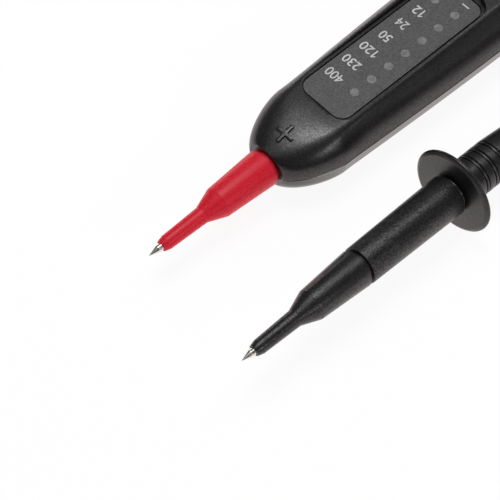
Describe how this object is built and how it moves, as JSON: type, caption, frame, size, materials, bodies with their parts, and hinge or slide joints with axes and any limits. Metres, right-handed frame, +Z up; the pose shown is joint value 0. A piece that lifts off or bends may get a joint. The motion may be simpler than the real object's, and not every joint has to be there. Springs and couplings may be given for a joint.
{
  "type": "voltage tester",
  "caption": "Two-pole voltage tester: black display handle with a red probe tip and lamp column, and a separate black probe handle with a round finger guard and ringed grip.",
  "frame": {"origin": "centre of the display handle's flat underside, on the table", "axes": "+X along the display handle from its red tip to its lead inlet, +Y across the handle towards the side with the printed numbers, away from the second probe, +Z up out of the display"},
  "size_m": [0.1978, 0.0646, 0.0238],
  "materials": {
    "housing_plastic": "satin, fine moulded grain",
    "red_plastic": "satin",
    "black_plastic": "satin",
    "panel_film": "fine-grained film",
    "clear_plastic": "frosted, translucent",
    "inner_plastic": "matt",
    "soft_rubber": "matt",
    "plated_pin": "nickel plated, polished",
    "brass_terminal": "bright",
    "screw_steel": "zinc plated",
    "circuit_board": "solder mask",
    "lamp_body": "clear over pale",
    "chip_body": "matt",
    "capacitor_can": "sleeved can",
    "resistor_body": "lacquered",
    "ceramic_body": "lacquered ceramic"
  },
  "bodies": {
    "root": {"top_shell": "housing_plastic", "bottom_shell": "housing_plastic", "display_panel": "panel_film", "light_guide": "clear_plastic", "lamp_shroud": "inner_plastic", "circuit_board": "circuit_board", "lamp_1": "lamp_body", "lamp_2": "lamp_body", "lamp_3": "lamp_body", "lamp_4": "lamp_body", "lamp_5": "lamp_body", "lamp_6": "lamp_body", "lamp_7": "lamp_body", "lamp_8": "lamp_body", "controller_chip": "chip_body", "bridge_rectifier": "chip_body", "smoothing_capacitor": "capacitor_can", "series_resistor_1": "resistor_body", "series_resistor_2": "resistor_body", "series_resistor_3": "resistor_body", "series_resistor_4": "resistor_body", "thermistor_1": "ceramic_body", "thermistor_2": "ceramic_body", "lead_terminal": "brass_terminal", "tip_terminal": "brass_terminal", "red_tip_sleeve": "red_plastic", "main_probe_pin": "plated_pin", "housing_screw_1": "screw_steel", "housing_screw_2": "screw_steel", "housing_screw_3": "screw_steel", "housing_screw_4": "screw_steel", "main_lead_bush": "soft_rubber", "black_tip_sleeve": "black_plastic", "second_probe_pin": "plated_pin", "probe_barrel": "housing_plastic", "guard_grip": "black_plastic", "pin_socket": "brass_terminal", "safety_resistor": "resistor_body", "crimp_terminal": "brass_terminal", "second_lead_bush": "soft_rubber"}
  },
  "joints": []
}
